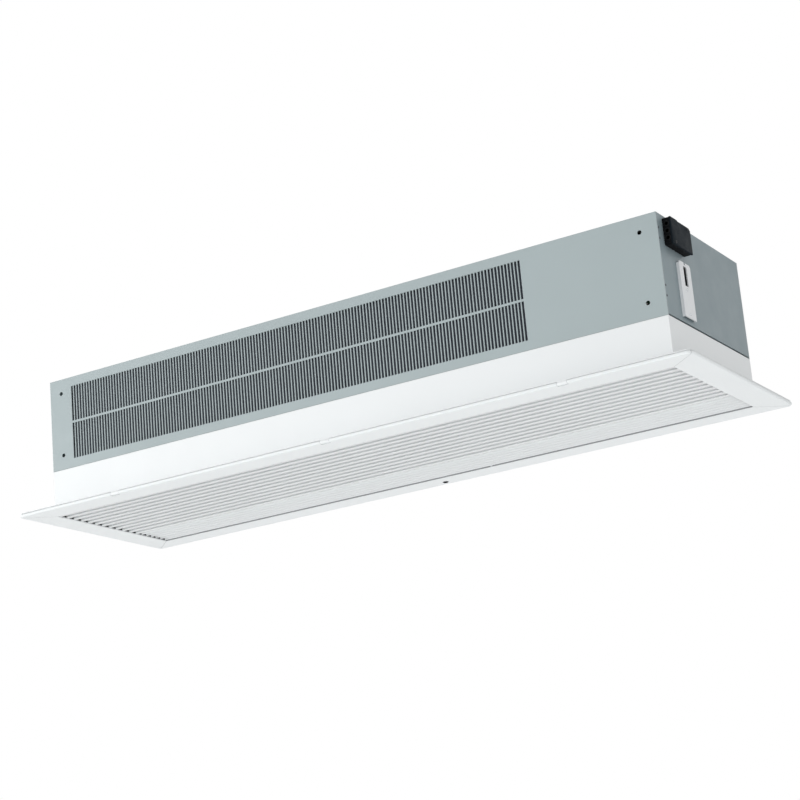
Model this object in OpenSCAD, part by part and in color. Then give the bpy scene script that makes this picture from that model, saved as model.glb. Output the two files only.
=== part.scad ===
// Recessed air curtain: a grey sheet casing over a white ceiling collar, with a hinged louvre face below.
// X runs along the length, the slotted front faces -Y, and Z = 0 is the top of the flange under the ceiling.

/* [Casing] */
// Length of the casing
case_l = 1000; // [900:1:1600]
// Depth of the casing, from the slotted front to the plain back
case_d = 266; // [262:1:300]
// Height of the grey casing above the collar
case_h = 139; // [137:1:170]
// Sheet thickness of the casing
case_t = 1.2; // [0.8:0.1:1.4]
// Width of the folded returns that join the sheets
return_w = 14; // [12:1:16]
// Gap below the end plates, filled by the gasket
end_gap = 2.5; // [1.5:0.1:4]
// Length of the electrical bay at the right end
bay_l = 194; // [185:1:240]

/* [Ceiling collar] */
// Height of the white collar below the casing
collar_h = 61; // [56:1:100]
// Sheet thickness of the collar and of its flange
collar_t = 1.2; // [1:0.1:1.5]
// Overhang of the louvre face at the two ends
over_x = 40; // [34:0.5:50]
// Overhang of the louvre face at the front and the back
over_y = 37; // [34:0.5:50]
// Corner radius of the louvre face, seen from below
corner_r = 9; // [4:0.5:12]
// Set-back of the flange behind the lip of the face
flange_in = 1.5; // [0.5:0.1:2]

/* [Intake slots] */
// Distance between slot centres
slot_pitch = 5.02; // [4:0.02:8]
// Width of a slot
slot_w = 3.4; // [2:0.1:3.6]
// Height of a slot
slot_h = 54; // [40:1:56]
// Height of the bar between the two rows
slot_bar = 3.2; // [2:0.1:8]
// Distance from the left end to the middle of the first slot
slot_left = 41.4; // [36:0.1:60]
// Radius of the four fixing holes in the front
fix_r = 3; // [2:0.25:4]
// Distance of the left fixing holes from the left end
fix_left = 20.5; // [18:0.5:30]
// Distance of the right fixing holes from the right end
fix_right = 25.5; // [20:0.5:30]
// Distance between the upper and lower fixing holes
fix_span_z = 95; // [80:1:110]

/* [Louvre face] */
// Height of the rim of the face
rim_h = 5; // [4.4:0.1:6]
// Thickness of the face plate of each rail
face_t = 1.5; // [1.2:0.1:1.8]
// Thickness of the inner wall of each rail
wall_t = 1; // [0.8:0.1:1.4]
// Height of the inner wall above the ceiling plane
wall_up = 10; // [9:0.5:12]
// Space between the inner walls and the collar
door_clear = 0.6; // [0.5:0.1:1]
// Distance between intake bars
bar_pitch = 16.35; // [14:0.05:20]
// Width of the underside of an intake bar
bar_w = 7; // [5:0.5:9]
// Height of the intake bars and of the outlet vanes
bar_h = 14; // [13:0.5:15]
// Set-back of the bars above the face
bar_in = 1; // [0.5:0.1:1.5]
// Width of the outlet field along the back edge
outlet_w = 71.7; // [60:0.1:80]
// Distance between outlet vanes
vane_pitch = 11.7; // [10:0.1:14]
// Thickness of an outlet vane
vane_t = 1.6; // [1:0.1:2.4]
// Lean of the outlet vanes
vane_lean = 24; // [5:1:30]
// Number of cross rods
rod_n = 7; // [4:1:11]
// Radius of the cross rods
rod_r = 2; // [1.5:0.1:2.4]

/* [Hinge and lock] */
// Number of hinge knuckles along the front lip
hinge_n = 3; // [2:1:5]
// Width of a hinge knuckle
knuckle_w = 14; // [10:1:24]
// Radius of the hinge pins
pin_r = 1; // [0.8:0.1:1.2]
// Length of a hinge pin inside the rail, each side
pin_grip = 10; // [6:1:16]
// Radius of the head of the lock screw
lock_head_r = 3.6; // [3.2:0.1:4.4]
// Radius of the shank of the lock screw
lock_shank_r = 2; // [1.5:0.1:2.2]
// Distance of the lock from the outer edge of the face
lock_in = 15; // [13:0.5:16]

/* [Fan] */
// Space between the impeller and the casing top
fan_over = 20; // [18:0.5:24]
// Space between the impeller and the collar
fan_under = 15; // [13:0.5:20]
// Depth of the ring of blades
blade_ring = 10; // [8:0.5:13]
// Number of blades
blade_n = 32; // [20:1:40]
// Thickness of a blade
blade_t = 1; // [0.8:0.1:1.4]
// Number of support rings between the end discs
ring_n = 4; // [2:1:8]
// Distance of the fan axis from the back of the casing
fan_back = 95; // [93:0.5:98]
// Radius of the fan shafts
shaft_r = 5; // [4:0.5:6]
// Outer radius of the shaft bearing
bearing_r = 13; // [11:0.5:15]
// Width of the shaft bearing
bearing_w = 8; // [6:0.5:10]
// Radius of the motor
motor_r = 46; // [36:1:48]
// Length of the motor
motor_l = 90; // [70:1:110]
// Radius of the heater tubes
heater_r = 4.2; // [3:0.1:6]
// Number of heater tubes
heater_n = 3; // [1:1:4]

/* [Ends] */
// Width of the suspension brackets
hat_w = 35.5; // [32:0.5:37]
// Height of the suspension brackets
hat_h = 76; // [72:1:82]
// Depth of the suspension brackets
hat_d = 4; // [3.5:0.1:6]
// Sheet thickness of the suspension brackets
hat_t = 1.5; // [1:0.1:2]
// Distance of the bracket centres from the front of the casing
hat_y = 64.7; // [60:0.1:70]
// Width of the suspension slots
hat_slot_w = 10.8; // [8:0.1:12]
// Height of the suspension slots
hat_slot_h = 27; // [20:1:30]
// Width of the terminal box
box_w = 62; // [54:1:66]
// Height of the terminal box
box_h = 37; // [34:1:39]
// Depth of the terminal box
box_d = 12; // [11.5:0.1:16]
// Distance of the terminal box from the front of the casing
box_y = 17; // [12:1:22]
// Radius of the bore of the cable ports
port_r = 2.5; // [2:0.1:2.8]
// Distance between cable ports
port_pitch = 9.6; // [9:0.1:10]
// Radius of the threaded bore of the suspension nuts
nut_bore_r = 3.4; // [2.1:0.1:4.2]
// Distance of the suspension nuts from the ends
sus_in = 100; // [90:1:140]
// Distance between suspension nuts across the depth
sus_y = 200; // [160:1:200]

/* [Hidden] */
$fn = 48;

case_grey = [0.67, 0.72, 0.73];
zinc = [0.75, 0.77, 0.78];
white = [0.94, 0.95, 0.95];
black = [0.16, 0.17, 0.18];
steel = [0.55, 0.56, 0.58];
green = [0.12, 0.34, 0.22];

// One overrun serves every cut
cut = 1;
// Clearance of a pin or shaft that turns in its bore
run_fit = 0.05;
// Clearance of a fixed piece in its hole
seat_fit = 0.05;
// Clearance between pieces that move past each other
free_fit = 0.3;

// Faces of the casing and of the collar
xl = -case_l / 2;
xr = case_l / 2;
yf = -case_d / 2;
yb = case_d / 2;
z_seat = collar_h + end_gap;
z_top = collar_h + case_h;
z_floor = z_seat + case_t;
sheet_seam = 0.3;

// Faces of the louvre face
rim_top = -collar_t - free_fit;
face_z = rim_top - rim_h;
wall_x = case_l / 2 - collar_t - door_clear - wall_t;
wall_y = case_d / 2 - collar_t - door_clear - wall_t;
face_x = case_l / 2 + over_x;
face_y = case_d / 2 + over_y;
lip_r = rim_h / 2;
hinge_y = -face_y + lip_r;
hinge_z = rim_top - lip_r;
bar_z = face_z + bar_in;
rod_share = 0.6;
rod_z = bar_z + bar_h * rod_share;

// Fan axis and the planes across it
fan_r = (case_h - fan_over - fan_under) / 2;
fan_y = yb - fan_back;
fan_z = collar_h + fan_under + fan_r;
bay_x = xr - bay_l;
cheek_in = 24;
cheek_x = xl + cheek_in;
duct_z = wall_up + 6 * free_fit + case_t * 2;
impeller_gap = 6;
fan_x0 = cheek_x + case_t + impeller_gap;
fan_x1 = bay_x - impeller_gap;

// Places of the screws that join casing and collar
join_n = 5;
join_share = 0.22;
join_r = 2.5;
join_y = case_d / 2 - case_t - return_w / 2;

// Places of the rivets along the front corners
rivet_z_shares = [0.191, 0.291, 0.747, 0.851];
rivet_in = 3.2;
rivet_r = 1.2;

module block(lo, hi) translate(lo) cube(hi - lo);
module along_x(x0, x1) translate([x0, 0, 0]) rotate([90, 0, 90]) linear_extrude(x1 - x0) children();
module along_y(y0, y1) translate([0, y1, 0]) rotate([90, 0, 0]) linear_extrude(y1 - y0) children();
module along_z(z0, z1) translate([0, 0, z0]) linear_extrude(z1 - z0) children();
module both_ends() for (s = [0, 1]) mirror([s, 0, 0]) children();
module both_sides() for (s = [0, 1]) mirror([0, s, 0]) children();

// Rectangle about the origin with rounded corners
module round_plate(l, d, r) {
  square([l - 2 * r, d], center = true);
  square([l, d - 2 * r], center = true);
  for (sx = [-1, 1], sy = [-1, 1]) translate([sx * (l / 2 - r), sy * (d / 2 - r)]) circle(r);
}

// A screw along X: its head stands outwards from x = 0
module screw_x(head_r, head_h, shank_r, depth) {
  along_x(0, head_h) circle(head_r);
  along_x(-depth, head_h / 2) circle(shank_r);
}

// Casing

// One long side of the casing with its returns, as it lies at the front
module long_side() {
  along_y(yf, yf + case_t) difference() {
    translate([xl, collar_h + sheet_seam]) square([case_l, case_h - sheet_seam]);
    children();
  }
  difference() {
    block([xl + case_t, yf, z_seat], [xr - case_t, yf + case_t + return_w, z_floor]);
    join_holes(join_r + seat_fit, z_seat, z_floor);
  }
  both_ends() difference() {
    block([xr - 2 * case_t, yf, z_seat], [xr - case_t, yf + case_t + return_w, z_top - case_t]);
    rivet_holes();
  }
}

module rivet_holes()
  for (share = rivet_z_shares)
    translate([0, yf + rivet_in, collar_h + share * case_h])
      along_x(xr - 2 * case_t - cut, xr + cut) circle(rivet_r + seat_fit);

module join_places()
  both_sides() for (i = [0 : join_n - 1])
    translate([(i - (join_n - 1) / 2) * join_share * case_l, -join_y, 0]) children();

module join_holes(r, z0, z1) join_places() along_z(z0 - cut, z1 + cut) circle(r);

slot_clear = 4;
slot_right = bay_x - slot_clear;
slot_n = floor((slot_right - xl - slot_left) / slot_pitch) + 1;
slot_mid_z = collar_h + case_h / 2;

module front_panel() color(case_grey) long_side() {
  for (i = [0 : slot_n - 1], row = [-1, 1])
    translate([xl + slot_left + i * slot_pitch, slot_mid_z + row * (slot_bar + slot_h) / 2])
      square([slot_w, slot_h], center = true);
  for (x = [xl + fix_left, xr - fix_right], side = [-1, 1])
    translate([x, slot_mid_z + side * fix_span_z / 2]) circle(fix_r);
}

module back_panel() color(case_grey) mirror([0, 1, 0]) long_side();

// Flanged nut riveted into the top sheet
nut_wall = 2.1;
nut_rim = 1.5;
nut_body_r = nut_bore_r + nut_wall;
nut_flange_r = nut_body_r + nut_rim;
nut_flange_t = 1;
nut_l = 14;

module top_panel() color(case_grey) difference() {
  union() {
    block([xl + case_t, yf + case_t, z_top - case_t], [xr - case_t, yb - case_t, z_top]);
    both_sides()
      block([xl + return_w, yf + case_t, z_top - return_w], [xr - return_w, yf + 2 * case_t, z_top]);
  }
  nut_places() along_z(z_top - case_t - cut, z_top + cut) circle(nut_body_r + seat_fit);
}

module nut_places()
  for (sx = [-1, 1], sy = [-1, 1]) translate([sx * (case_l / 2 - sus_in), sy * sus_y / 2, 0]) children();

module suspension_nuts() color(zinc) nut_places() difference() {
  union() {
    along_z(z_top, z_top + nut_flange_t) circle(nut_flange_r);
    along_z(z_top - nut_l, z_top + nut_flange_t / 2) circle(nut_body_r);
  }
  along_z(z_top - nut_l - cut, z_top + nut_flange_t + cut) circle(nut_bore_r);
}

// Hole behind the terminal box, for its wires
wire_r = 7;
wire_share = 0.6;
box_drop = 4.5;
box_y0 = yf + box_y;
box_z1 = z_top - box_drop;
box_z0 = box_z1 - box_h;
wire_y = box_y0 + box_w * wire_share;
wire_z = (box_z0 + box_z1) / 2;

// Slot of the suspension bracket and its two screws
hat_lift = 9;
hat_slot_share = 0.754;
hat_screw_shares = [0.08, 0.518];
hat_cy = yf + hat_y;
hat_z0 = collar_h + hat_lift;
hat_slot_z = hat_z0 + hat_h * hat_slot_share;
hat_screw_r = 1.3;

// The opening of the end plate behind the slot is wider and reaches higher, so a bolt head passes through
hat_room_y = 7;
hat_room_z = 2.5;

module end_plate() difference() {
  union() {
    block([xr - case_t, yf + case_t, z_seat], [xr, yb - case_t, z_top]);
    block(
      [xr - case_t - return_w, yf + case_t + return_w + free_fit, z_seat],
      [xr, yb - case_t - return_w - free_fit, z_floor]
    );
  }
  rivet_holes();
  along_x(xr - case_t - cut, xr + cut) translate([hat_cy, hat_slot_z + hat_room_z / 2])
    square([hat_slot_w + 2 * hat_room_y, hat_slot_h + hat_room_z], center = true);
  hat_screw_places() along_x(-case_t - hat_d - cut, cut) circle(hat_screw_r + seat_fit);
}

module left_end_plate() color(case_grey) mirror([1, 0, 0]) end_plate();

module right_end_plate() color(case_grey) difference() {
  end_plate();
  translate([0, wire_y, wire_z]) along_x(xr - case_t - cut, xr + cut) circle(wire_r);
}

module corner_rivets() color(black) both_ends()
  for (share = rivet_z_shares) translate([xr, yf + rivet_in, collar_h + share * case_h]) {
    along_x(0, rivet_r / 2) circle(rivet_r * 1.4);
    along_x(-2 * case_t - rivet_r, rivet_r / 4) circle(rivet_r);
  }

// Openings in the partition for the shaft, the heater tubes and the wires
shaft_hole_r = shaft_r * 2.4;
bay_wire_r = 9;
bay_wire_y_share = 0.12;
bay_wire_z_share = 0.8;
cap_r = 15;
cap_l = 60;
cap_stud_r = 4;
cap_lift = 8;
cap_share = 0.22;
cap_y = yf + case_d * cap_share;
cap_z = duct_z + cap_r + cap_lift;

// Outline of a sheet that stands across the casing and reaches down into the collar
module cross_sheet(y0) {
  neck_y = case_d / 2 - case_t - return_w - free_fit * 3;
  wide_y = case_d / 2 - 2 * case_t - free_fit;
  low_y = case_d / 2 - collar_t - free_fit * 2;
  intersection() {
    union() {
      translate([-wide_y, z_floor]) square([2 * wide_y, z_top - case_t - z_floor]);
      translate([-neck_y, duct_z]) square([2 * neck_y, z_top - case_t - duct_z]);
      translate([-low_y, duct_z]) square([2 * low_y, collar_h - collar_t - free_fit - duct_z]);
    }
    translate([y0, 0]) square([case_d, z_top]);
  }
}

module bay_partition() color(zinc) {
  along_x(bay_x, bay_x + case_t) difference() {
    cross_sheet(yf);
    translate([fan_y, fan_z]) circle(shaft_hole_r);
    heater_places() circle(heater_r + seat_fit);
    translate([cap_y, cap_z]) circle(cap_stud_r + seat_fit);
    translate([yf + case_d * bay_wire_y_share, collar_h + case_h * bay_wire_z_share]) circle(bay_wire_r);
  }
  difference() {
    block([bay_x, yf + 2 * return_w, duct_z], [bay_x + return_w, yb - 2 * return_w, duct_z + case_t]);
    cover_holes(duct_z, duct_z + case_t);
  }
}

// Ceiling collar

module ceiling_collar() color(white) {
  difference() {
    union() {
      block([xl, yf, -collar_t], [xr, yb, collar_h]);
      along_z(-collar_t, 0)
        round_plate(2 * (face_x - flange_in), 2 * (face_y - flange_in), corner_r - flange_in);
    }
    block(
      [xl + collar_t, yf + collar_t, -collar_t - cut],
      [xr - collar_t, yb - collar_t, collar_h - collar_t]
    );
    block(
      [xl + case_t + return_w, yf + case_t + return_w, 0],
      [xr - case_t - return_w, yb - case_t - return_w, collar_h + cut]
    );
    join_holes(join_r + seat_fit, collar_h - collar_t, collar_h);
  }
  difference() {
    block(
      [xr - collar_t - return_w, yf + 2 * return_w, duct_z],
      [xr - collar_t / 2, yb - 2 * return_w, duct_z + collar_t]
    );
    cover_holes(duct_z, duct_z + collar_t);
  }
}

gasket_in = 2;
module collar_gasket() color(black) difference() {
  block(
    [xl + gasket_in, yf + case_t + free_fit, collar_h],
    [xr - gasket_in, yb - case_t - free_fit, z_seat]
  );
  block(
    [xl + case_t + return_w, yf + case_t + return_w, collar_h - cut],
    [xr - case_t - return_w, yb - case_t - return_w, z_seat + cut]
  );
  join_holes(join_r + seat_fit, collar_h, z_seat);
}

join_head_h = 2.5;
join_nut_h = 4;
module collar_screws() color(steel) join_places() {
  along_z(collar_h - collar_t - join_head_h, collar_h - collar_t) circle(join_r * 1.8);
  along_z(collar_h - collar_t - join_head_h / 2, z_floor + join_nut_h + case_t) circle(join_r);
}

module collar_nuts() color(steel) join_places() difference() {
  along_z(z_floor, z_floor + join_nut_h) circle(join_r * 1.8, $fn = 6);
  along_z(z_floor - cut, z_floor + join_nut_h + cut) circle(join_r + seat_fit);
}

// Ends

// The face of a bracket: its outer corners are cut, and a notch opens the top edge over the slot
hat_notch_w = 5;
hat_notch_h = 3;
hat_corner = 3;
module hat_face() difference() {
  translate([hat_cy - hat_w / 2, hat_z0]) square([hat_w, hat_h]);
  translate([hat_cy, hat_slot_z]) square([hat_slot_w, hat_slot_h], center = true);
  translate([hat_cy - hat_notch_w / 2, hat_z0 + hat_h - hat_notch_h]) square([hat_notch_w, hat_h]);
  for (s = [-1, 1]) translate([hat_cy + s * hat_w / 2, hat_z0 + hat_h]) circle(hat_corner, $fn = 4);
}

module hat_screw_places()
  for (share = hat_screw_shares) translate([xr + hat_d, hat_cy, hat_z0 + share * hat_h]) children();

module suspension_brackets() color(zinc) both_ends() {
  difference() {
    along_x(xr + hat_d - hat_t, xr + hat_d) hat_face();
    hat_screw_places() along_x(-hat_d, cut) circle(hat_screw_r + seat_fit);
  }
  for (y = [hat_cy - hat_w / 2, hat_cy + hat_w / 2 - hat_t])
    block([xr, y, hat_z0], [xr + hat_d, y + hat_t, hat_z0 + hat_h - hat_corner]);
}

module bracket_screws() color(steel) both_ends() hat_screw_places() difference() {
  screw_x(hat_screw_r * 1.6, hat_screw_r * 0.9, hat_screw_r, hat_d + case_t + hat_t);
  along_x(hat_screw_r * 0.4, hat_screw_r) square([hat_screw_r * 2.2, hat_screw_r * 0.4], center = true);
}

// Terminal box: a moulded base, a lid with cut edges and a rubber port for each cable
box_wall = 2;
lid_t = 2.5;
lid_cut = 1.5;
box_x1 = xr + box_d - lid_t;
port_x = (xr + box_wall + box_x1) / 2;
port_wall = 0.7;
port_neck_r = port_r + port_wall;
port_flange_t = 1.2;
lid_screw_r = 1.2;
post_r = lid_screw_r * 2;
post_merge_share = 0.8;

module port_places()
  for (i = [-1 : 1]) translate([port_x, box_y0, wire_z - i * port_pitch]) children();

module lid_screw_places()
  for (s = [-1, 1]) translate([
    box_x1,
    box_y0 + box_w / 2 + s * (box_w / 2 - box_wall - 3 * post_r),
    wire_z + s * (box_h / 2 - box_wall - post_merge_share * post_r)
  ]) children();

module terminal_box() color(black) difference() {
  union() {
    difference() {
      block([xr, box_y0, box_z0], [box_x1, box_y0 + box_w, box_z1]);
      block(
        [xr + box_wall, box_y0 + box_wall, box_z0 + box_wall],
        [box_x1 + cut, box_y0 + box_w - box_wall, box_z1 - box_wall]
      );
    }
    lid_screw_places() along_x(xr - box_x1 + box_wall / 2, 0) circle(post_r);
  }
  translate([0, wire_y, wire_z]) along_x(xr - cut, xr + box_wall + cut) circle(wire_r);
  port_places() along_y(-cut, box_wall + cut) circle(port_neck_r + seat_fit);
  lid_screw_places() along_x(-lid_screw_r * 4, cut) circle(lid_screw_r + seat_fit);
}

// Outline of the lid across one axis, cut back towards its outer face
module lid_side(w) polygon([
  [0, 0], [0, w], [lid_t - lid_cut, w], [lid_t, w - lid_cut], [lid_t, lid_cut], [lid_t - lid_cut, 0]
]);

module terminal_box_cover() color(black) difference() {
  intersection() {
    translate([box_x1, box_y0, 0]) along_z(box_z0, box_z1) lid_side(box_w);
    translate([box_x1, 0, box_z0]) along_y(box_y0, box_y0 + box_w) lid_side(box_h);
  }
  lid_screw_places() along_x(-cut, lid_t + cut) circle(lid_screw_r + seat_fit);
}

module cable_ports() color(black) port_places() difference() {
  union() {
    along_y(-port_flange_t, 0) circle(port_neck_r + port_flange_t);
    along_y(-port_flange_t / 2, box_wall + port_flange_t) circle(port_neck_r);
  }
  along_y(-port_flange_t - cut, box_wall + port_flange_t + cut) circle(port_r);
}

module terminal_box_screws() color(steel) lid_screw_places() translate([lid_t, 0, 0])
  screw_x(lid_screw_r * 1.7, lid_screw_r * 0.8, lid_screw_r, lid_t + lid_screw_r * 3);

// Fan and its duct

scroll_t = 1;
scroll_gap = 4;
scroll_angle = 115;
scroll_steps = 23;
duct_back = yb - case_t - return_w - 3 * free_fit - scroll_t;
duct_front = wall_y - outlet_w;
duct_lip = wall_y - door_clear - 2 * scroll_t;
neck_z = collar_h - collar_t - free_fit;
scroll_end_r = duct_back - fan_y;

function scroll_radius(a) = scroll_end_r - (scroll_end_r - fan_r - scroll_gap) * a / scroll_angle;
function on_scroll(a, add) = [fan_y, fan_z] + (scroll_radius(a) + add) * [cos(a), sin(a)];

// The scroll unwinds round the back of the impeller and runs on as the rear wall of the outlet duct
module scroll_wall() color(zinc) along_x(cheek_x + case_t, bay_x) {
  polygon(concat(
    [for (i = [scroll_steps : -1 : 0]) on_scroll(scroll_angle * i / scroll_steps, 0)],
    [[duct_back, neck_z], [duct_lip, duct_z]],
    [[duct_lip + scroll_t, duct_z], [duct_back + scroll_t, neck_z]],
    [for (i = [0 : scroll_steps]) on_scroll(scroll_angle * i / scroll_steps, scroll_t)]
  ));
  start = on_scroll(scroll_angle, 0);
  translate(start) square([scroll_t, z_top - case_t - start.y]);
  translate([start.x - return_w, z_top - case_t - scroll_t]) square([return_w + scroll_t, scroll_t]);
}

// The cut-off turns a rolled nose to the impeller and runs on as the front wall of the duct
nose_angle = 232;
nose_r = 3;
module cutoff_plate() color(zinc) along_x(cheek_x + case_t, bay_x) {
  nose = [fan_y, fan_z] + (fan_r + scroll_gap + nose_r) * [cos(nose_angle), sin(nose_angle)];
  run = [duct_front, neck_z] - nose;
  under = [sin(atan2(run.y, run.x)), -cos(atan2(run.y, run.x))];
  translate(nose) circle(nose_r);
  polygon([
    nose + (nose_r - scroll_t / 2) * under,
    [duct_front - scroll_t, neck_z],
    [duct_front - scroll_t, duct_z],
    [duct_front, duct_z],
    [duct_front, neck_z + scroll_t],
    nose + (nose_r - 3 * scroll_t / 2) * under
  ]);
}

module fan_cheek() color(zinc) along_x(cheek_x, cheek_x + case_t) difference() {
  cross_sheet(fan_y - fan_r - 2 * scroll_gap);
  translate([fan_y, fan_z]) circle(shaft_hole_r);
}

// Bearing of the stub shaft, in a housing on the outer side of the cheek
housing_wall = 4;
housing_l = bearing_w + housing_wall;
module bearing_housing() color(steel) translate([cheek_x, fan_y, fan_z]) difference() {
  union() {
    along_x(-housing_l, 0) circle(bearing_r + housing_wall);
    along_x(-housing_wall / 2, 0) circle(bearing_r + housing_wall * 3);
  }
  along_x(-housing_l - cut, -housing_wall) circle(bearing_r + seat_fit);
  along_x(-housing_l - cut, cut) circle(shaft_r * 1.6);
}

module fan_bearing() color(zinc) translate([cheek_x - housing_wall - bearing_w, fan_y, fan_z])
  difference() {
    along_x(0, bearing_w) circle(bearing_r);
    along_x(-cut, bearing_w + cut) circle(shaft_r + run_fit);
    along_x(-cut, bearing_w / 8) difference() {
      circle(bearing_r * 0.8);
      circle(bearing_r * 0.6);
    }
  }

// Impeller: curved blades through thin rings, between two discs
disc_t = 2;
ring_t = 1.5;
hub_r = shaft_r * 2.2;
hub_l = 16;
blade_bow = fan_r * 0.2;
fan_l = fan_x1 - fan_x0;

module blade() intersection() {
  translate([fan_r - blade_ring / 2, -blade_bow * 0.8]) difference() {
    circle(blade_bow);
    circle(blade_bow - blade_t);
  }
  translate([0, -blade_bow / 2]) square([2 * fan_r, 2 * blade_bow]);
}

module fan_impeller() color(steel) translate([0, fan_y, fan_z]) {
  along_x(fan_x0, fan_x1) intersection() {
    for (i = [0 : blade_n - 1]) rotate(i * 360 / blade_n) blade();
    difference() {
      circle(fan_r - blade_t / 2);
      circle(fan_r - blade_ring);
    }
  }
  for (x = [fan_x0, fan_x1 - disc_t]) along_x(x, x + disc_t) difference() {
    circle(fan_r);
    circle(hub_r + seat_fit);
  }
  for (i = [1 : ring_n]) {
    x = fan_x0 + fan_l * i / (ring_n + 1);
    along_x(x, x + ring_t) difference() {
      circle(fan_r);
      circle(fan_r - blade_ring * 1.3);
    }
  }
}

module fan_hubs() color(black) translate([0, fan_y, fan_z])
  for (x = [fan_x0, fan_x1 - hub_l]) along_x(x, x + hub_l) difference() {
    circle(hub_r);
    circle(shaft_r + seat_fit);
  }

module fan_stub_shaft() color(steel) translate([0, fan_y, fan_z])
  along_x(cheek_x - housing_l - disc_t, fan_x0 + hub_l) circle(shaft_r);

// Motor in the bay: it hangs from the top sheet in a cradle, held by two straps
motor_gap = 10;
motor_x0 = bay_x + case_t + motor_gap;
motor_x1 = motor_x0 + motor_l;
cap_step = 8;
boss_r = shaft_r * 3.2;
motor_bore_share = 0.65;
motor_bore = motor_l * motor_bore_share;

module motor_shaft() color(steel) translate([0, fan_y, fan_z])
  along_x(fan_x1 - hub_l, motor_x0 + motor_bore - disc_t) circle(shaft_r);

module motor_casing() color(steel) translate([0, fan_y, fan_z]) difference() {
  union() {
    along_x(motor_x0 + cap_step, motor_x1 - cap_step) circle(motor_r);
    along_x(motor_x0 + cap_step / 2, motor_x1 - cap_step / 2) circle(motor_r * 0.85);
    along_x(motor_x0, motor_x1) circle(boss_r);
  }
  along_x(motor_x0 - cut, motor_x0 + motor_bore) circle(shaft_r + run_fit);
  for (a = [0 : 45 : 315]) rotate([a, 0, 0]) translate([0, motor_r * 0.65, 0])
    along_x(motor_x1 - cap_step, motor_x1) circle(cap_step / 2);
}

strap_t = 1.5;
strap_w = 12;
strap_ear = 9;
saddle_t = 2;
strap_x_shares = [0.28, 0.72];

module strap_places()
  for (share = strap_x_shares) translate([motor_x0 + share * motor_l, fan_y, fan_z]) children();

module motor_cradle() color(zinc) {
  strap_places() {
    along_x(-saddle_t / 2, saddle_t / 2) difference() {
      reach = motor_r + strap_t + strap_ear;
      translate([-reach, 0]) square([2 * reach, z_top - case_t - fan_z]);
      circle(motor_r + free_fit);
    }
    both_sides() block(
      [-strap_w / 2, motor_r + strap_t, 0],
      [strap_w / 2, motor_r + strap_t + strap_ear, strap_t]
    );
  }
  block(
    [motor_x0, fan_y - motor_r, z_top - case_t - saddle_t],
    [motor_x1, fan_y + motor_r, z_top - case_t]
  );
}

module motor_straps() color(zinc) strap_places() along_x(-strap_w / 2, strap_w / 2) {
  reach = motor_r + strap_t + strap_ear;
  difference() {
    circle(motor_r + strap_t + free_fit);
    circle(motor_r + free_fit);
    translate([-reach, 0]) square(2 * reach);
  }
  for (s = [-1, 1])
    translate([s * (motor_r + strap_t / 2 + (reach - motor_r) / 2), -strap_t / 2])
      square([reach - motor_r - strap_t / 2, strap_t], center = true);
}

// Heater tubes across the outlet duct
heater_share = 0.62;
heater_z = collar_h * heater_share;
heater_stud_r = heater_r * 0.45;
heater_stud_l = 14;
module heater_places() {
  step = (duct_back - duct_front) / heater_n;
  for (i = [0 : heater_n - 1]) translate([duct_front + (i + 0.5) * step, heater_z]) children();
}

module heater_tubes() color(steel) {
  along_x(cheek_x + case_t + free_fit, bay_x + case_t + heater_r) heater_places() circle(heater_r);
  along_x(bay_x + case_t, bay_x + case_t + heater_r + heater_stud_l) heater_places() circle(heater_stud_r);
}

module heater_bracket() color(zinc) translate([cheek_x + case_t, 0, 0]) along_x(0, 2 * heater_r)
  difference() {
    edge = 1.6 * heater_r;
    translate([duct_front + free_fit, heater_z - edge])
      square([duct_back - duct_front - 2 * free_fit, 2 * edge]);
    heater_places() circle(heater_r + seat_fit);
  }

cutout_r = 8;
cutout_rise = 2.2;
module overheat_cutout() color(black)
  translate([bay_x + case_t, fan_y + cutout_r, fan_z - fan_r - cutout_r + cutout_rise]) {
    along_x(0, cutout_r) circle(cutout_r);
    for (s = [-1, 1]) along_x(0, cutout_r * 1.8) translate([s * cutout_r / 2, 0])
      square([cutout_r / 8, cutout_r * 0.7], center = true);
  }

// Electrical bay

board_l = 140;
board_w = 76;
board_t = 1.6;
board_gap = 28;
board_lift = 14;
board_x0 = bay_x + board_gap;
board_z0 = z_floor + board_lift;
board_y0 = yf + case_t + return_w;
post_in = 5;

module control_board() color(green)
  block([board_x0, board_y0, board_z0], [board_x0 + board_l, board_y0 + board_t, board_z0 + board_w]);

module board_standoffs() color(white)
  translate([board_x0 + board_l / 2, 0, board_z0 + board_w / 2])
    for (sx = [-1, 1], sz = [-1, 1])
      translate([sx * (board_l / 2 - post_in), 0, sz * (board_w / 2 - post_in)])
        along_y(yf + case_t, board_y0) circle(post_in / 2);

relay_w = 13;
relay_l = 28;
relay_h = 16;
relay_shares = [0.15, 0.33, 0.51, 0.69];
module board_relays() color([0.1, 0.2, 0.5]) for (share = relay_shares)
  translate([board_x0 + board_l * share, board_y0 + board_t, board_z0 + board_w / 2])
    cube([relay_w, relay_h, relay_l]);

strip_l = 60;
strip_h = 16;
strip_d = 18;
strip_ways = 6;
strip_y_share = 0.36;
strip_z_share = 0.6;
module terminal_strip() color(white)
  translate([xr - case_t - strip_d, yf + case_d * strip_y_share, z_floor + case_h * strip_z_share])
    difference() {
      cube([strip_d, strip_l, strip_h]);
      for (i = [0 : strip_ways - 1]) translate([0, strip_l * (i + 0.5) / strip_ways, strip_h / 2])
        along_x(-cut, strip_d / 2) circle(strip_l / strip_ways * 0.3);
    }

module run_capacitor() color(zinc) translate([bay_x + case_t, cap_y, cap_z]) {
  along_x(0, cap_l) circle(cap_r);
  along_x(-case_t - 2 * cap_stud_r, cap_l / 2) circle(cap_stud_r);
}

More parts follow.
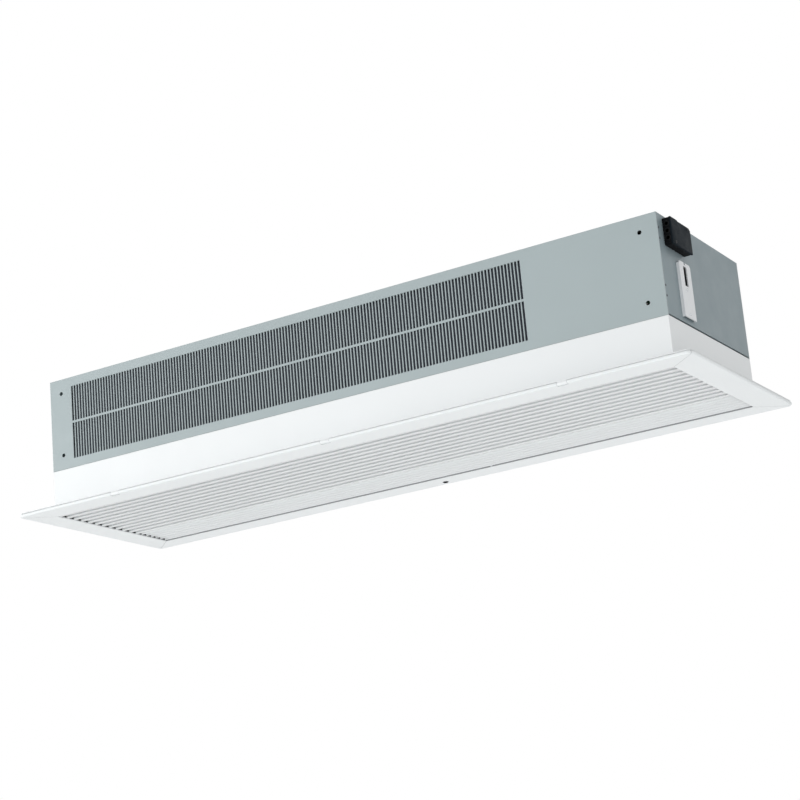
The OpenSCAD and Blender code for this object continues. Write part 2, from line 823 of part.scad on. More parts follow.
cover_screw_r = 2;
module cover_screw_places()
  for (x = [bay_x + return_w * 0.6, xr - collar_t - return_w * 0.5], s = [-1, 0, 1])
    translate([x, s * (case_d / 2 - 3 * return_w), 0]) children();

module cover_holes(z0, z1)
  cover_screw_places() along_z(z0 - cut, z1 + cut) circle(cover_screw_r + seat_fit);

module bay_cover() color(zinc) difference() {
  block(
    [bay_x, -case_d / 2 + collar_t + 2 * free_fit, duct_z - case_t],
    [xr - collar_t - free_fit, case_d / 2 - collar_t - 2 * free_fit, duct_z]
  );
  cover_holes(duct_z - case_t, duct_z);
}

cover_head_h = 1.2;
module bay_cover_screws() color(steel) cover_screw_places() {
  along_z(duct_z - case_t - cover_head_h, duct_z - case_t) circle(cover_screw_r * 1.6);
  along_z(duct_z - case_t - cover_head_h / 2, duct_z + cover_screw_r * 3) circle(cover_screw_r);
}

// Hinge and lock

hinge_share = 0.72;
hinge_reach = case_l * hinge_share;
notch_w = knuckle_w + 2 * free_fit;
module hinge_places() for (i = [0 : hinge_n - 1])
  translate([hinge_reach * (i / (hinge_n - 1) - 1 / 2), hinge_y, hinge_z]) children();

module hinge_knuckles() color(white) hinge_places() difference() {
  union() {
    along_x(-knuckle_w / 2, knuckle_w / 2) circle(lip_r);
    block([-knuckle_w / 2, -lip_r + flange_in, 0], [knuckle_w / 2, lip_r, -collar_t - hinge_z]);
  }
  along_x(-knuckle_w, knuckle_w) circle(pin_r + seat_fit);
}

module hinge_pins() color(steel) hinge_places()
  along_x(-notch_w / 2 - pin_grip, notch_w / 2 + pin_grip) circle(pin_r);

lock_y = face_y - lock_in;
nut_plate_w = 16;
nut_plate_t = 1.6;
lock_bush_wall = 0.9;
lock_bush_r = lock_head_r + lock_bush_wall;
lock_ledge_t = 0.5;
lock_head_t = 2.5;
lock_proud = 1;
lock_play = 0.08;
lock_hex_share = 0.62;
lock_hex_r = lock_head_r * lock_hex_share;
lock_head_z = face_z - lock_proud + lock_head_t;

module lock_nut_plate() color(zinc) translate([0, lock_y, 0]) difference() {
  along_z(-collar_t - nut_plate_t, -collar_t) square(nut_plate_w, center = true);
  along_z(-collar_t - nut_plate_t - cut, cut) circle(lock_shank_r + free_fit);
}

module lock_bush() color(zinc) translate([0, lock_y, 0]) difference() {
  union() {
    along_z(face_z, lock_head_z + lock_play + lock_ledge_t) circle(lock_bush_r);
    along_z(face_z + face_t, lock_head_z + lock_play + lock_ledge_t) circle(lock_bush_r * 1.3);
  }
  along_z(face_z - cut, lock_head_z + lock_play) circle(lock_head_r + lock_play);
  along_z(face_z, lock_head_z + cut) circle(lock_shank_r + lock_play);
}

module lock_screw() color(steel) translate([0, lock_y, 0]) difference() {
  union() {
    along_z(lock_head_z - lock_head_t, lock_head_z) circle(lock_head_r);
    along_z(lock_head_z - lock_head_t / 2, -collar_t - free_fit) circle(lock_shank_r);
  }
  along_z(lock_head_z - lock_head_t - cut, lock_head_z - lock_ledge_t) circle(lock_hex_r, $fn = 6);
}

// Louvre face

// Outer part of a rail, from zero outwards: face plate and round lip
module lip_section(w) {
  translate([0, face_z]) square([w - lip_r, face_t]);
  translate([w - lip_r, hinge_z]) circle(lip_r);
}

// A rail as it lies at the back, before its mitres are cut: the lip turns both corners of the face
module rail_blank(half_l, out, wall) {
  along_x(corner_r - half_l, half_l - corner_r) translate([wall, 0]) lip_section(out - wall);
  along_x(-half_l, half_l) translate([wall, face_z]) {
    square([out - wall - corner_r, face_t]);
    square([wall_t, wall_up - face_z]);
  }
  both_ends() translate([half_l - corner_r, out - corner_r, 0])
    rotate_extrude(angle = 90) lip_section(corner_r);
}

// Plan of the end rail on the right, mitred towards both long rails with an open joint
mitre_gap = 0.3;
module end_plan() polygon([
  [wall_x, mitre_gap - wall_y], [face_x - corner_r, mitre_gap + corner_r - face_y],
  [face_x, mitre_gap - face_y], [face_x, face_y - mitre_gap],
  [face_x - corner_r, face_y - corner_r - mitre_gap], [wall_x, wall_y - mitre_gap]
]);

module long_plan() polygon([
  [wall_x, wall_y], [face_x - corner_r, face_y - corner_r], [face_x, face_y],
  [-face_x, face_y], [corner_r - face_x, face_y - corner_r], [-wall_x, wall_y]
]);

// The long rail as it lies at the back
module long_rail() difference() {
  intersection() {
    rail_blank(face_x, face_y, wall_y);
    along_z(face_z - cut, wall_up + cut) long_plan();
  }
  rod_places() along_y(0, face_y) circle(rod_r + seat_fit);
}

module front_rail() color(white) difference() {
  mirror([0, 1, 0]) long_rail();
  hinge_places() {
    block([-notch_w / 2, -lip_r - cut, -lip_r - cut], [notch_w / 2, lip_r + free_fit, lip_r + cut]);
    along_x(-notch_w / 2 - pin_grip - free_fit, notch_w / 2 + pin_grip + free_fit) circle(pin_r + run_fit);
  }
}

module back_rail() color(white) difference() {
  long_rail();
  translate([0, lock_y, 0]) along_z(face_z - cut, face_z + face_t + cut) circle(lock_bush_r + seat_fit);
}

module end_rail() intersection() {
  rotate(-90) rail_blank(face_y, face_x, wall_x);
  along_z(face_z - cut, wall_up + cut) end_plan();
}

module right_rail() color(white) end_rail();

module left_rail() color(white) mirror([1, 0, 0]) end_rail();

// Flat angles that join the rails behind the mitres
key_w = 14;
key_l = 48;
key_t = 1.5;
module corner_keys() color(zinc) both_ends() both_sides()
  along_z(face_z + face_t, face_z + face_t + key_t) {
    kx = (wall_x + face_x) / 2 + key_w / 2;
    ky = (wall_y + face_y) / 2 + key_w / 2;
    translate([kx - key_w, ky - key_l]) square([key_w, key_l]);
    translate([kx - key_l, ky - key_w]) square([key_l, key_w]);
  }

module rod_places() {
  step = 2 * (wall_x - return_w) / (rod_n - 1);
  for (i = [0 : rod_n - 1]) translate([-wall_x + return_w + i * step, 0, rod_z]) children();
}

module cross_rods() color(zinc) rod_places() along_y(-wall_y - wall_t, wall_y + wall_t) circle(rod_r);

bar_gap = 1.7;
bar_y0 = -wall_y + bar_gap + bar_w / 2;
bar_n = floor((wall_y - outlet_w - bar_y0) / bar_pitch) + 1;
vane_n = floor(outlet_w / vane_pitch);

// Section of an intake bar: broad flat foot with eased corners, tapering upwards
foot_share = 0.22;
top_share = 0.32;
ease_share = 0.12;
module bar_section() {
  half = bar_w / 2;
  ease = ease_share * bar_w;
  polygon([
    [ease - half, 0], [half - ease, 0], [half, ease], [half, foot_share * bar_h], [top_share * half, bar_h],
    [-top_share * half, bar_h], [-half, foot_share * bar_h], [-half, ease]
  ]);
}

module bar_places() for (i = [0 : bar_n - 1]) translate([bar_y0 + i * bar_pitch, bar_z]) children();

module intake_bars() color(white) difference() {
  along_x(-wall_x, wall_x) bar_places() bar_section();
  rod_places() along_y(-face_y, face_y) circle(rod_r + seat_fit);
}

// Section of an outlet vane: a thin blade with a round nose, leaning towards the doorway
module vane_section() {
  shift = bar_h * tan(vane_lean) / 2;
  polygon([
    [shift - vane_t / 2, vane_t / 2], [shift + vane_t / 2, vane_t / 2],
    [-shift + vane_t / 2, bar_h], [-shift - vane_t / 4, bar_h]
  ]);
  translate([shift, vane_t / 2]) circle(vane_t / 2);
}

module vane_places() for (i = [0 : vane_n - 1])
  translate([wall_y - outlet_w + (i + 0.5) * vane_pitch, bar_z]) children();

module outlet_vanes() color(white) difference() {
  along_x(-wall_x, wall_x) vane_places() vane_section();
  rod_places() along_y(-face_y, face_y) circle(rod_r + seat_fit);
}

// Combs on the end walls, which hold the ends of the bars and vanes and close the gaps between them
seal_t = 1;
comb_in = 0.3;
module end_seals() color(black) both_ends() along_x(wall_x - seal_t, wall_x) difference() {
  translate([-wall_y + free_fit, bar_z + comb_in])
    square([2 * (wall_y - free_fit), wall_up - bar_z - comb_in]);
  bar_places() bar_section();
  vane_places() vane_section();
}

// Seal along the back wall of the outlet, in two lengths with a joint between them
seal_in = 0.2;
seal_joint = 4;
seal_joint_share = 0.59;
module outlet_seals() color(black) difference() {
  joint_x = wall_x * (2 * seal_joint_share - 1);
  end_x = wall_x - seal_t - free_fit;
  block([-end_x, wall_y - seal_t, face_z + seal_in], [end_x, wall_y, wall_up]);
  block([joint_x, wall_y - seal_t - cut, face_z], [joint_x + seal_joint, wall_y + cut, wall_up + cut]);
  rod_places() along_y(0, face_y) circle(rod_r + seat_fit);
}

front_panel();
back_panel();
top_panel();
left_end_plate();
right_end_plate();
bay_partition();
ceiling_collar();
collar_gasket();
collar_screws();
collar_nuts();
corner_rivets();
suspension_nuts();
suspension_brackets();
bracket_screws();
terminal_box();
terminal_box_cover();
cable_ports();
terminal_box_screws();
scroll_wall();
cutoff_plate();
fan_cheek();
heater_tubes();
heater_bracket();
overheat_cutout();
fan_bearing();
bearing_housing();
motor_casing();
motor_cradle();
motor_straps();
control_board();
board_relays();
board_standoffs();
terminal_strip();
run_capacitor();
bay_cover();
bay_cover_screws();
hinge_knuckles();
hinge_pins();
lock_nut_plate();
front_rail();
back_rail();
left_rail();
right_rail();
corner_keys();
intake_bars();
outlet_vanes();
cross_rods();
end_seals();
outlet_seals();
lock_bush();
lock_screw();
fan_impeller();
fan_hubs();
fan_stub_shaft();
motor_shaft();
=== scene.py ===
import math

import bmesh
import bpy
from mathutils import Matrix, Vector


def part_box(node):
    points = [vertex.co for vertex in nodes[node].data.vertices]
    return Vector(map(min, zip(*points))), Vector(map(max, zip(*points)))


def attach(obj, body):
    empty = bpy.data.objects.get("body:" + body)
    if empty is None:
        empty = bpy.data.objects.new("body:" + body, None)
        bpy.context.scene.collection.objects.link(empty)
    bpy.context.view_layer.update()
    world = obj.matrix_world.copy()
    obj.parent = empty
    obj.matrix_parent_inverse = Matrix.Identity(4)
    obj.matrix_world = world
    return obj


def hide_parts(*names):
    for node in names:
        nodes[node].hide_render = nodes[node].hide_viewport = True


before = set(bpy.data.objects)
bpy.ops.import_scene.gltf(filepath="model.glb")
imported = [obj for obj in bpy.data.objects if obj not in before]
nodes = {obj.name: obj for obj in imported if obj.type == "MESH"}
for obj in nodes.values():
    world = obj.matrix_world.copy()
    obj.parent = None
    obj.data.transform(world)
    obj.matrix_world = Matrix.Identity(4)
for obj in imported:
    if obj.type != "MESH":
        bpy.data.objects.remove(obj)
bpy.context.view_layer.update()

# Viewpoint of the photograph: below the ceiling and to the right of the slotted front, with the head a
# little tilted. The lens is long, so the far end of the unit is hardly smaller than the near one.
aim = Vector((0.0247, 0.0, 0.0827))
view_distance = 2.9877
view_right = math.radians(30.09)
view_below = math.radians(16.06)
view_tilt = math.radians(5.05)
lens_mm = 94.87
sensor_mm = 36.0

away = Vector((
    math.sin(view_right) * math.cos(view_below),
    -math.cos(view_right) * math.cos(view_below),
    -math.sin(view_below),
))
camera = bpy.data.objects.new("camera", bpy.data.cameras.new("camera"))
bpy.context.scene.collection.objects.link(camera)
camera.data.lens = lens_mm
camera.data.sensor_width = sensor_mm
camera.data.clip_start = 0.05
level = (-away).to_track_quat("-Z", "Y").to_matrix().to_4x4()
camera.matrix_world = (
    Matrix.Translation(aim + away * view_distance) @ level @ Matrix.Rotation(-view_tilt, 4, "Z")
)
bpy.context.scene.camera = camera
bpy.context.scene.view_settings.view_transform = "Standard"


# Studio: a white sweep all round gives even light. The main soft lamp stands to the left of the front, and
# weaker ones stand to the right, low down and behind. The pale floor is far below.
def wire(tree, kind, inputs=None, **settings):
    """Adds a shader node. An input that is a socket is linked, and any other is set."""
    made = tree.nodes.new(kind)
    for name, value in settings.items():
        setattr(made, name, value)
    for name, value in (inputs or {}).items():
        if isinstance(value, bpy.types.NodeSocket):
            tree.links.new(value, made.inputs[name])
        else:
            made.inputs[name].default_value = value
    return made


def maths(tree, operation, first, second=0.0):
    """One sum of two values or sockets."""
    return wire(tree, "ShaderNodeMath", {0: first, 1: second}, operation=operation).outputs[0]


def seen_directly(tree):
    """1 for rays from the camera, in mirrors and through glass, and 0 for light that falls on things."""
    path = wire(tree, "ShaderNodeLightPath").outputs
    mirrored = maths(tree, "MAXIMUM", path["Is Glossy Ray"], path["Is Transmission Ray"])
    return maths(tree, "MAXIMUM", path["Is Camera Ray"], mirrored)


light_below = 0.563
light_above = 0.703
world = bpy.data.worlds.new("studio")
world.use_nodes = True
world.node_tree.nodes.clear()
bpy.context.scene.world = world
sweep = world.node_tree
towards = wire(sweep, "ShaderNodeTexCoord").outputs["Generated"]
rising = wire(sweep, "ShaderNodeSeparateXYZ", {0: towards}).outputs["Z"]
soft_sky = wire(sweep, "ShaderNodeMapRange", {
    0: rising, 1: -0.1, 2: 0.5, 3: light_below, 4: light_above,
}, interpolation_type="SMOOTHSTEP").outputs[0]
dim = wire(sweep, "ShaderNodeBackground", {"Color": (1, 1, 1, 1), "Strength": soft_sky})
plain = wire(sweep, "ShaderNodeBackground", {"Color": (1, 1, 1, 1), "Strength": 1.0})
mixed = wire(sweep, "ShaderNodeMixShader", {
    0: seen_directly(sweep), 1: dim.outputs[0], 2: plain.outputs[0],
})
wire(sweep, "ShaderNodeOutputWorld", {"Surface": mixed.outputs[0]})


lamp_size = 2.0


def soft_lamp(name, place, watts):
    """A broad square lamp that faces the unit and isn't seen itself."""
    lamp = bpy.data.objects.new(name, bpy.data.lights.new(name, "AREA"))
    lamp.data.shape = "SQUARE"
    lamp.data.size = lamp_size
    lamp.data.energy = watts
    lamp.location = place
    lamp.rotation_euler = (aim - Vector(place)).to_track_quat("-Z", "Y").to_euler()
    lamp.visible_camera = False
    bpy.context.scene.collection.objects.link(lamp)


soft_lamp("front_lamp", (-2.1, -2.5, 0.1), 45.6)
soft_lamp("right_lamp", (1.9, -2.0, -0.9), 13.6)
soft_lamp("low_lamp", (0.05, -0.2, -2.1), 12.9)
soft_lamp("back_lamp", (-1.3, 2.6, 1.3), 18.0)

floor_z = -2.4
floor_reach = 9.0
clear_from = 1.0
clear_to = 2.6
floor_mesh = bpy.data.meshes.new("floor")
floor_mesh.from_pydata(
    [(x * floor_reach, y * floor_reach, floor_z) for x, y in ((-1, -1), (1, -1), (1, 1), (-1, 1))],
    [],
    [(0, 1, 2, 3)],
)
floor = bpy.data.objects.new("floor", floor_mesh)
bpy.context.scene.collection.objects.link(floor)
floor_paint = bpy.data.materials.new("floor_paint")
floor_paint.use_nodes = True
tree = floor_paint.node_tree
tree.nodes.clear()
spot = wire(tree, "ShaderNodeTexCoord").outputs["Object"]
flat = wire(tree, "ShaderNodeVectorMath", {0: spot, 1: (1, 1, 0)}, operation="MULTIPLY").outputs[0]
reach = wire(tree, "ShaderNodeVectorMath", {0: flat}, operation="LENGTH").outputs["Value"]
fade = wire(tree, "ShaderNodeMapRange", {
    0: reach, 1: clear_from, 2: clear_to,
}, interpolation_type="SMOOTHSTEP").outputs[0]
grey = wire(tree, "ShaderNodeBsdfDiffuse", {"Color": (0.8, 0.8, 0.8, 1)})
white_card = wire(tree, "ShaderNodeEmission", {"Color": (1, 1, 1, 1), "Strength": 1.0})
far = maths(tree, "MULTIPLY", fade, seen_directly(tree))
lit = wire(tree, "ShaderNodeMixShader", {0: far, 1: grey.outputs[0], 2: white_card.outputs[0]})
under = wire(tree, "ShaderNodeNewGeometry").outputs["Backfacing"]
clear = wire(tree, "ShaderNodeBsdfTransparent")
both = wire(tree, "ShaderNodeMixShader", {0: under, 1: lit.outputs[0], 2: clear.outputs[0]})
wire(tree, "ShaderNodeOutputMaterial", {"Surface": both.outputs[0]})
floor_mesh.materials.append(floor_paint)


# Casing: five sheets of 1.2 mm steel, folded, riveted at the corners and powder coated in blue-grey. The
# front is punched with two rows of intake slots. The coat has a fine orange peel and a painted highlight, a
# lighter edge colour, along its edges. The end plates take a darker grey, which is painted shade.
def linear(red, green, blue):
    """A colour as it is seen on screen, 0 to 255, as the shader's own values."""
    def one(value):
        share = value / 255
        return share / 12.92 if share <= 0.04045 else ((share + 0.055) / 1.055) ** 2.4
    return one(red), one(green), one(blue), 1.0


def effect(name, inputs, outputs):
    """An empty shader group with named sockets, and its input and output nodes."""
    group = bpy.data.node_groups.new(name, "ShaderNodeTree")
    for label, kind, value in inputs:
        socket = group.interface.new_socket(label, in_out="INPUT", socket_type="NodeSocket" + kind)
        socket.default_value = value
    for label, kind in outputs:
        group.interface.new_socket(label, in_out="OUTPUT", socket_type="NodeSocket" + kind)
    return group, wire(group, "NodeGroupInput").outputs, wire(group, "NodeGroupOutput")


def noise(tree, vector, scale, detail=2.0, roughness=0.5):
    """Soft cloudy noise between 0 and 1."""
    made = wire(tree, "ShaderNodeTexNoise", {
        "Vector": vector, "Scale": scale, "Detail": detail, "Roughness": roughness,
    })
    return made.outputs["Fac"]


def spread(tree, value, low, high):
    """Takes noise to a range of its own."""
    return wire(tree, "ShaderNodeMapRange", {0: value, 1: 0.3, 2: 0.7, 3: low, 4: high}).outputs[0]


def about_one(tree, value, amount):
    """Takes noise to a factor that is 1, give or take an amount."""
    return spread(tree, value, maths(tree, "SUBTRACT", 1.0, amount), maths(tree, "ADD", 1.0, amount))


def rounding(tree, radius, samples, turn, most):
    """The normal of a slightly rounded surface, and a value that rises to the most along the edges."""
    soft = wire(tree, "ShaderNodeBevel", {"Radius": radius}, samples=samples).outputs[0]
    true = wire(tree, "ShaderNodeNewGeometry").outputs["Normal"]
    turned_away = wire(tree, "ShaderNodeVectorMath", {
        0: soft, 1: true,
    }, operation="DOT_PRODUCT").outputs["Value"]
    edge = wire(tree, "ShaderNodeMapRange", {0: turned_away, 1: 0.999, 2: turn, 3: 0.0, 4: most}).outputs[0]
    return soft, edge


def tinted(tree, colour, value):
    """The colour made lighter or darker by a factor."""
    return wire(tree, "ShaderNodeVectorMath", {0: colour, "Scale": value}, operation="SCALE").outputs[0]


# Powder coat: slow drift of the colour, a fine orange peel, a line of the edge colour along every edge,
# which is painted highlight where it is lighter and painted shade where it is darker, and painted shade on
# what faces down
coat, given, result = effect(
    "powder_coat",
    [
        ("Colour", "Color", (0.5, 0.5, 0.5, 1)),
        ("Edge Colour", "Color", (0.6, 0.6, 0.6, 1)),
        ("Drift", "Float", 0.03),
        ("Peel Scale", "Float", 900.0),
        ("Edge Radius", "Float", 0.0006),
        ("Gloss Low", "Float", 0.38),
        ("Gloss High", "Float", 0.5),
        ("Film", "Float", 0.0),
    ],
    [("Colour", "Color"), ("Roughness", "Float"), ("Height", "Float"), ("Normal", "Vector")],
)
where = wire(coat, "ShaderNodeTexCoord").outputs
place = where["Object"]
# Painted shade: faces that point down are darkened by the Shade Below share
down = wire(coat, "ShaderNodeSeparateXYZ", {0: where["Normal"]}).outputs["Z"]
under = wire(coat, "ShaderNodeMapRange", {0: down, 1: -0.5, 2: -0.95, 3: 0.0, 4: 1.0}).outputs[0]
patchy = maths(coat, "MULTIPLY", under, spread(coat, noise(coat, place, 25.0, 3.0), 0.94, 1.06))
shade_below = maths(coat, "SUBTRACT", 1.0, maths(coat, "MULTIPLY", patchy, given["Film"]))
drift = about_one(coat, noise(coat, place, 5.0), given["Drift"])
soft, edge = rounding(coat, given["Edge Radius"], 6, 0.8, 1.0)
# Edges take the edge colour: a painted highlight where it is lighter than the coat, painted shade where
# darker
edge_light_shade = maths(coat, "MULTIPLY", edge, spread(coat, noise(coat, place, 60.0, 4.0), 0.2, 0.9))
shade = wire(coat, "ShaderNodeMix", {
    "Factor": edge_light_shade, "A": tinted(coat, given["Colour"], drift), "B": given["Edge Colour"],
}, data_type="RGBA")
coat.links.new(tinted(coat, shade.outputs["Result"], shade_below), result.inputs["Colour"])
gloss = spread(coat, noise(coat, place, 35.0, 3.0), given["Gloss Low"], given["Gloss High"])
coat.links.new(gloss, result.inputs["Roughness"])
coat.links.new(noise(coat, place, given["Peel Scale"], 1.0), result.inputs["Height"])
coat.links.new(soft, result.inputs["Normal"])


def finish_of(name, group, values, bump=0.00002, **plain_values):
    """A material whose surface comes from a shader group, with its plain values on the shader itself."""
    made = bpy.data.materials.new(name)
    made.use_nodes = True
    tree = made.node_tree
    tree.nodes.clear()
    skin = wire(tree, "ShaderNodeGroup", None, node_tree=group)
    for label, value in values.items():
        skin.inputs[label].default_value = value
    shader = wire(tree, "ShaderNodeBsdfPrincipled")
    for label, value in plain_values.items():
        shader.inputs[label.replace("_", " ").title().replace("Ior", "IOR")].default_value = value
    tree.links.new(skin.outputs["Colour"], shader.inputs["Base Color"])
    tree.links.new(skin.outputs["Roughness"], shader.inputs["Roughness"])
    relief = wire(tree, "ShaderNodeBump", {
        "Height": skin.outputs["Height"], "Distance": bump, "Strength": 1.0,
    })
    if "Normal" in skin.outputs:
        tree.links.new(skin.outputs["Normal"], relief.inputs["Normal"])
    tree.links.new(relief.outputs[0], shader.inputs["Normal"])
    wire(tree, "ShaderNodeOutputMaterial", {"Surface": shader.outputs[0]})
    return made


def dress(material, *names):
    """Gives CAD nodes their finish."""
    for name in names:
        nodes[name].data.materials.clear()
        nodes[name].data.materials.append(material)


def casing_grey(name, colour):
    """The casing's powder coat."""
    # The lighter edge colour is a painted highlight along the edges
    values = {"Colour": colour, "Edge Colour": linear(182, 193, 195), "Drift": 0.025}
    return finish_of(name, coat, values, ior=1.45)


casing_paint = casing_grey("casing_paint", linear(162, 174, 176))
# The end plates take a darker copy of the casing grey: painted shade on the ends
shaded_end_paint = casing_grey("shaded_end_paint", linear(131, 145, 150))
dress(casing_paint, "front_panel", "back_panel", "top_panel")
dress(shaded_end_paint, "left_end_plate", "right_end_plate")

# Corner rivets: blind rivets of dark plated steel that draw the side returns and the end plates together.
# Each has a low dome with the dimple of its broken mandrel, and a bulge behind the sheets.
crease = math.radians(32)
weld = 0.000001


def solids(name):
    """The boxes of a node's separate solids, each as its lowest and highest corner."""
    form = bmesh.new()
    form.from_mesh(nodes[name].data)
    bmesh.ops.remove_doubles(form, verts=form.verts, dist=weld)
    found = []
    left = set(form.verts)
    while left:
        reached = [left.pop()]
        for vertex in reached:
            for link in vertex.link_edges:
                other = link.other_vert(vertex)
                if other in left:
                    left.discard(other)
                    reached.append(other)
        low = Vector([min(vertex.co[axis] for vertex in reached) for axis in range(3)])
        high = Vector([max(vertex.co[axis] for vertex in reached) for axis in range(3)])
        found.append((low, high))
    form.free()
    return sorted(found, key=lambda box: [round(value, 5) for value in box[0]])


def turned(form, place, axis, rings, sides=24):
    """Adds a turned form. A ring is a radius, a height along the axis and, if it isn't round, an outline."""
    out = Vector(axis)
    across = Vector((0, 0, 1)) if abs(out.z) < 0.5 else Vector((0, 1, 0))
    beside = out.cross(across)
    last = None
    for radius, height, *outline in rings:
        middle = Vector(place) + out * height
        ring = []
        for step in range(sides if radius else 1):
            angle = math.tau * step / sides
            reach = radius * (outline[0](angle, height) if outline else 1)
            spoke = across * math.cos(angle) + beside * math.sin(angle)
            ring.append(form.verts.new(middle + spoke * reach))
        if last:
            bridge(form, last, ring)
        last = ring


def bridge(form, first, second):
    """Joins two rings, or a ring and a point, with faces."""
    for step in range(max(len(first), len(second))):
        corners = []
        for ring, offsets in ((first, (0, 1)), (second, (1, 0))):
            for offset in offsets:
                corner = ring[(step + offset) % len(ring)]
                if corner not in corners:
                    corners.append(corner)
        form.faces.new(corners)


def piece(name, form, material, body, slot, *replaced):
    """Makes a mesh into a piece of the part, round where it is turned and crisp at its edges."""
    bmesh.ops.recalc_face_normals(form, faces=form.faces)
    mesh = bpy.data.meshes.new(name)
    form.to_mesh(mesh)
    form.free()
    mesh.shade_smooth()
    mesh.set_sharp_from_angle(angle=crease)
    mesh.materials.append(material)
    made = bpy.data.objects.new(name, mesh)
    bpy.context.scene.collection.objects.link(made)
    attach(made, body)
    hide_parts(*replaced)
    return made


# Drawn metal: fine lines that run one way, with a slow change of tone across them
drawn, given, result = effect(
    "drawn_metal",
    [
        ("Colour", "Color", (0.5, 0.5, 0.5, 1)),
        ("Run", "Vector", (30.0, 3000.0, 3000.0)),
        ("Tone", "Float", 0.08),
        ("Gloss Low", "Float", 0.25),
        ("Gloss High", "Float", 0.4),
    ],
    [("Colour", "Color"), ("Roughness", "Float"), ("Height", "Float")],
)
place = wire(drawn, "ShaderNodeTexCoord").outputs["Object"]
run = wire(drawn, "ShaderNodeVectorMath", {0: place, 1: given["Run"]}, operation="MULTIPLY").outputs[0]
lines = noise(drawn, run, 1.0, 3.0, 0.6)
cloud = noise(drawn, place, 45.0, 3.0)
streaks = maths(drawn, "MULTIPLY", maths(drawn, "ADD", lines, cloud), 0.5)
tone = about_one(drawn, streaks, given["Tone"])
drawn.links.new(tinted(drawn, given["Colour"], tone), result.inputs["Colour"])
gloss = spread(drawn, cloud, given["Gloss Low"], given["Gloss High"])
drawn.links.new(gloss, result.inputs["Roughness"])
drawn.links.new(lines, result.inputs["Height"])


def metal_of(name, colour, run, tone, gloss, metallic=1.0):
    """A drawn or turned metal with lines along the run, which is a scale for each axis."""
    return finish_of(name, drawn, {
        "Colour": colour, "Run": run, "Tone": tone, "Gloss Low": gloss[0], "Gloss High": gloss[1],
    }, bump=0.000012, metallic=metallic)


dark_steel = metal_of("dark_steel", linear(96, 100, 104), (900, 900, 900), 0.12, (0.4, 0.55), metallic=0.6)
form = bmesh.new()
plate_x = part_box("right_end_plate")[1][0]
for low, high in solids("corner_rivets"):
    side = math.copysign(1, low.x)
    dome = max(-low.x, high.x) - plate_x
    radius = (high.z - low.z) / 2
    depth = high.x - low.x - dome
    turned(form, (side * plate_x, (low.y + high.y) / 2, (low.z + high.z) / 2), (side, 0, 0), [
        (0, dome * 0.55), (radius * 0.38, dome * 0.5), (radius * 0.46, dome * 0.96), (radius * 0.62, dome),
        (radius * 0.86, dome * 0.7), (radius, dome * 0.2), (radius, 0), (radius * 0.7, 0),
        (radius * 0.7, depth * -0.68), (radius * 0.92, depth * -0.8), (radius * 0.6, -depth), (0, -depth),
    ])
piece("blind_rivets", form, dark_steel, "root", "dark_steel", "corner_rivets")

# Suspension nuts: zinc-plated rivet nuts in the top sheet, which the drop rods screw into. The body is
# threaded, its top is a thin flange, and the crimp stands out under the sheet.
spangle, given, result = effect(
    "zinc_spangle",
    [
        ("Colour", "Color", (0.5, 0.5, 0.5, 1)),
        ("Spangle Scale", "Float", 140.0),
        ("Tone", "Float", 0.1),
        ("Gloss Low", "Float", 0.35),
        ("Gloss High", "Float", 0.6),
    ],
    [("Colour", "Color"), ("Roughness", "Float"), ("Height", "Float")],
)
place = wire(spangle, "ShaderNodeTexCoord").outputs["Object"]
frost = wire(spangle, "ShaderNodeTexNoise", {"Vector": place, "Scale": 220.0}).outputs["Color"]
wander = wire(spangle, "ShaderNodeVectorMath", {
    0: place, 1: tinted(spangle, frost, 0.004),
}, operation="ADD").outputs[0]
grains = wire(spangle, "ShaderNodeTexVoronoi", {"Vector": wander, "Scale": given["Spangle Scale"]})
grain = wire(spangle, "ShaderNodeSeparateColor", {0: grains.outputs["Color"]}).outputs[0]
tone = wire(spangle, "ShaderNodeMapRange", {
    0: grain, 3: maths(spangle, "SUBTRACT", 1.0, given["Tone"]), 4: maths(spangle, "ADD", 1.0, given["Tone"]),
}).outputs[0]
dull = spread(spangle, noise(spangle, place, 9.0, 4.0), 0.9, 1.04)
shade = tinted(spangle, tinted(spangle, given["Colour"], tone), dull)
spangle.links.new(shade, result.inputs["Colour"])
gloss = wire(spangle, "ShaderNodeMapRange", {0: grain, 3: given["Gloss Low"], 4: given["Gloss High"]})
spangle.links.new(gloss.outputs[0], result.inputs["Roughness"])
spangle.links.new(grains.outputs["Distance"], result.inputs["Height"])
bright_zinc = metal_of("bright_zinc", linear(214, 217, 219), (1400, 1400, 1400), 0.05, (0.28, 0.42))


def thread(low, high, radius, pitch, inner=False, cut=0.08):
    """The rings of a screw thread between two heights, inside a bore or outside a shank."""
    def flank(angle, height):
        turn = (height / pitch - angle / math.tau) % 1.0
        groove = min(1.0, 2.6 * min(turn, 1 - turn)) * cut
        return 1 + groove if inner else 1 - groove
    steps = max(2, math.ceil((high - low) / pitch * 5))
    return [(radius, low + (high - low) * step / steps, flank) for step in range(steps + 1)]


form = bmesh.new()
for low, high in solids("suspension_nuts"):
    reach = (high.x - low.x) / 2
    body = reach * 0.78
    bore = reach * 0.486
    rim = 0.001
    crimp = -0.0026
    rod_pitch = 0.00125
    top = high.z
    rings = [
        (reach, top - rim), (reach, top - rim * 0.25), (reach * 0.96, top), (bore * 1.14, top),
        (bore, top - rim * 0.7),
    ]
    rings += reversed(thread(low.z + rim * 0.6, top - rim, bore, rod_pitch, inner=True))
    rings += [
        (bore * 1.12, low.z), (body * 0.94, low.z), (body, low.z + rim * 0.4),
        (body, top - rim + crimp * 1.8), (body * 1.12, top - rim + crimp), (body, top - rim * 2.2),
        (body, top - rim), (reach, top - rim),
    ]
    turned(form, ((low.x + high.x) / 2, (low.y + high.y) / 2, 0), (0, 0, 1), rings, sides=36)
bmesh.ops.remove_doubles(form, verts=form.verts, dist=weld)
piece("rivet_nuts", form, bright_zinc, "root", "galvanised", "suspension_nuts")
